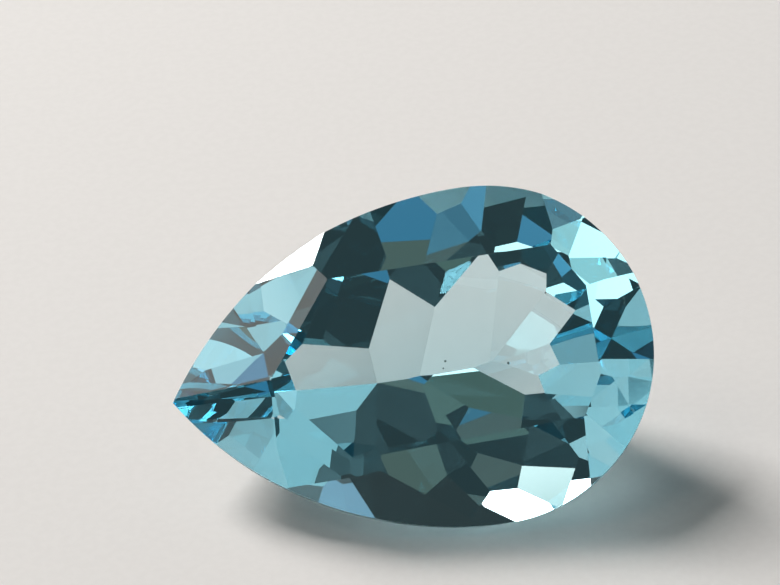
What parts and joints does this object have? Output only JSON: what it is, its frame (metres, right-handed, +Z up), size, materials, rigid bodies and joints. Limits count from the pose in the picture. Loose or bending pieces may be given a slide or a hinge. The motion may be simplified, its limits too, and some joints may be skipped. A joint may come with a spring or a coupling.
{
  "type": "faceted gemstone",
  "caption": "Pear cut topaz with a flat table, low crown and keeled pavilion: a loose clear stone that lies on one pavilion facet.",
  "frame": {"origin": "centre of the bounding box's bottom, in the plane of the facet that the stone lies on", "axes": "+X over the long axis from the point to the round head, -Y to the side that the table leans to, +Z up from the facet that it lies on"},
  "size_m": [0.02, 0.0106, 0.0102],
  "materials": {
    "topaz": "polished"
  },
  "bodies": {
    "root": {"faceted_stone": "topaz"}
  },
  "joints": []
}
